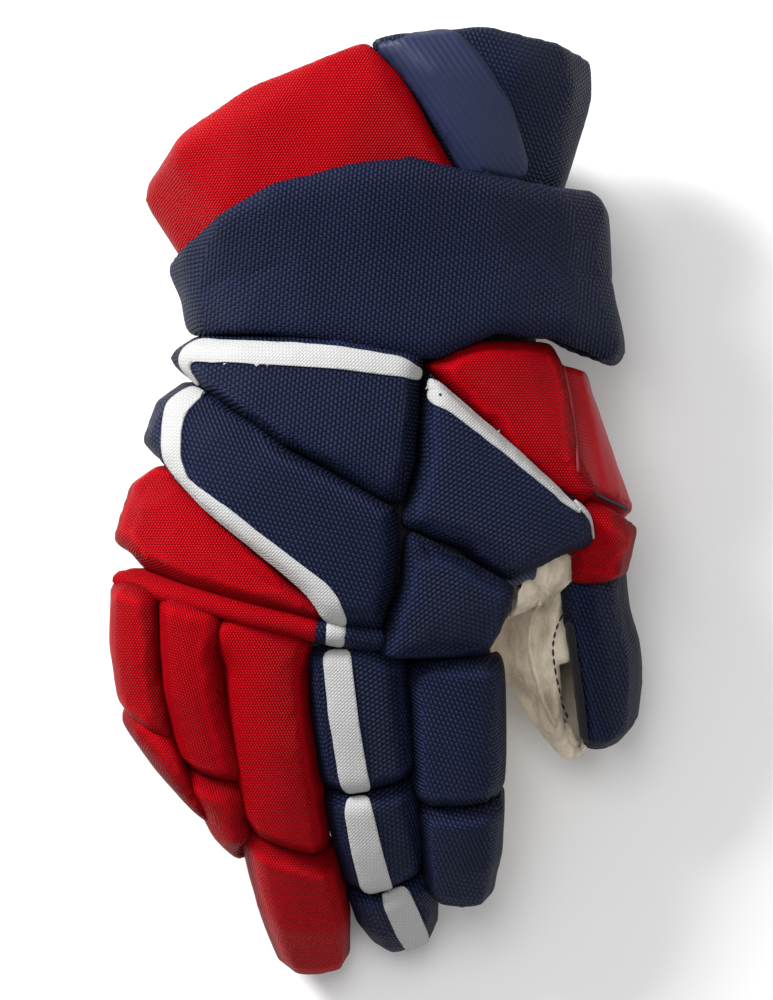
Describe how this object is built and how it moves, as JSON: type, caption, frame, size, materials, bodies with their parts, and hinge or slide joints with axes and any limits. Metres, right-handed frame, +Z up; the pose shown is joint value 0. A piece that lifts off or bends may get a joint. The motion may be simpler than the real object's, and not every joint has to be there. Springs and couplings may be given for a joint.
{
  "type": "ice hockey glove",
  "caption": "Padded ice hockey glove for the right hand, with segmented back rolls, wide wrist band, flared two-part cuff and soft leather palm.",
  "frame": {"origin": "middle of the underside of the glove's box, on the surface that it lies on", "axes": "+Y from the fingertips to the cuff, +X to the thumb's side, +Z up through the back of the hand"},
  "size_m": [0.193, 0.3466, 0.1062],
  "materials": {
    "navy_cloth": "coarse woven cloth with a slight sheen",
    "red_cloth": "fine woven cloth with a slight sheen",
    "white_cloth": "woven tape, matt",
    "palm_leather": "napped, matt",
    "black_lining": "knitted lining, matt",
    "smooth_navy": "smooth coated cloth, satin",
    "smooth_red": "smooth coated cloth, satin",
    "navy_cord": "ribbed cord, matt"
  },
  "bodies": {
    "root": {"palm_leather": "palm_leather", "back_lining": "black_lining", "cuff_lining": "black_lining", "cuff_panel_red": "red_cloth", "cuff_panel_navy": "navy_cloth", "cuff_panel_palm": "navy_cloth", "cuff_smooth_strip": "smooth_navy", "wrist_band": "navy_cloth", "index_knuckle_pad": "navy_cloth", "knuckle_roll_red": "red_cloth", "knuckle_roll_navy_inner": "navy_cloth", "knuckle_roll_white": "white_cloth", "knuckle_roll_navy": "navy_cloth", "upper_roll": "navy_cloth", "upper_roll_stripe": "white_cloth", "lower_roll": "navy_cloth", "lower_roll_stripe": "white_cloth", "red_wedge": "red_cloth", "thumb_side_roll": "navy_cloth", "thumb_side_stripe": "white_cloth", "thumb_side_stripe_end": "white_cloth", "thumb_side_red_pad": "red_cloth", "side_panel_smooth": "smooth_red", "side_panel_lower": "red_cloth", "middle_pad_upper": "navy_cloth", "middle_stripe_upper": "white_cloth", "middle_pad_mid": "navy_cloth", "middle_stripe_mid": "white_cloth", "middle_pad_lower": "navy_cloth", "middle_stripe_lower": "white_cloth", "index_pad_upper": "navy_cloth", "index_pad_lower": "navy_cloth", "ring_pad_upper": "red_cloth", "ring_pad_lower": "red_cloth", "pinky_pad_upper": "red_cloth", "pinky_pad_lower": "red_cloth", "pinky_side_roll_upper": "red_cloth", "pinky_side_roll_lower": "red_cloth", "thumb_pad": "navy_cloth", "thumb_web_cord": "navy_cord"}
  },
  "joints": []
}
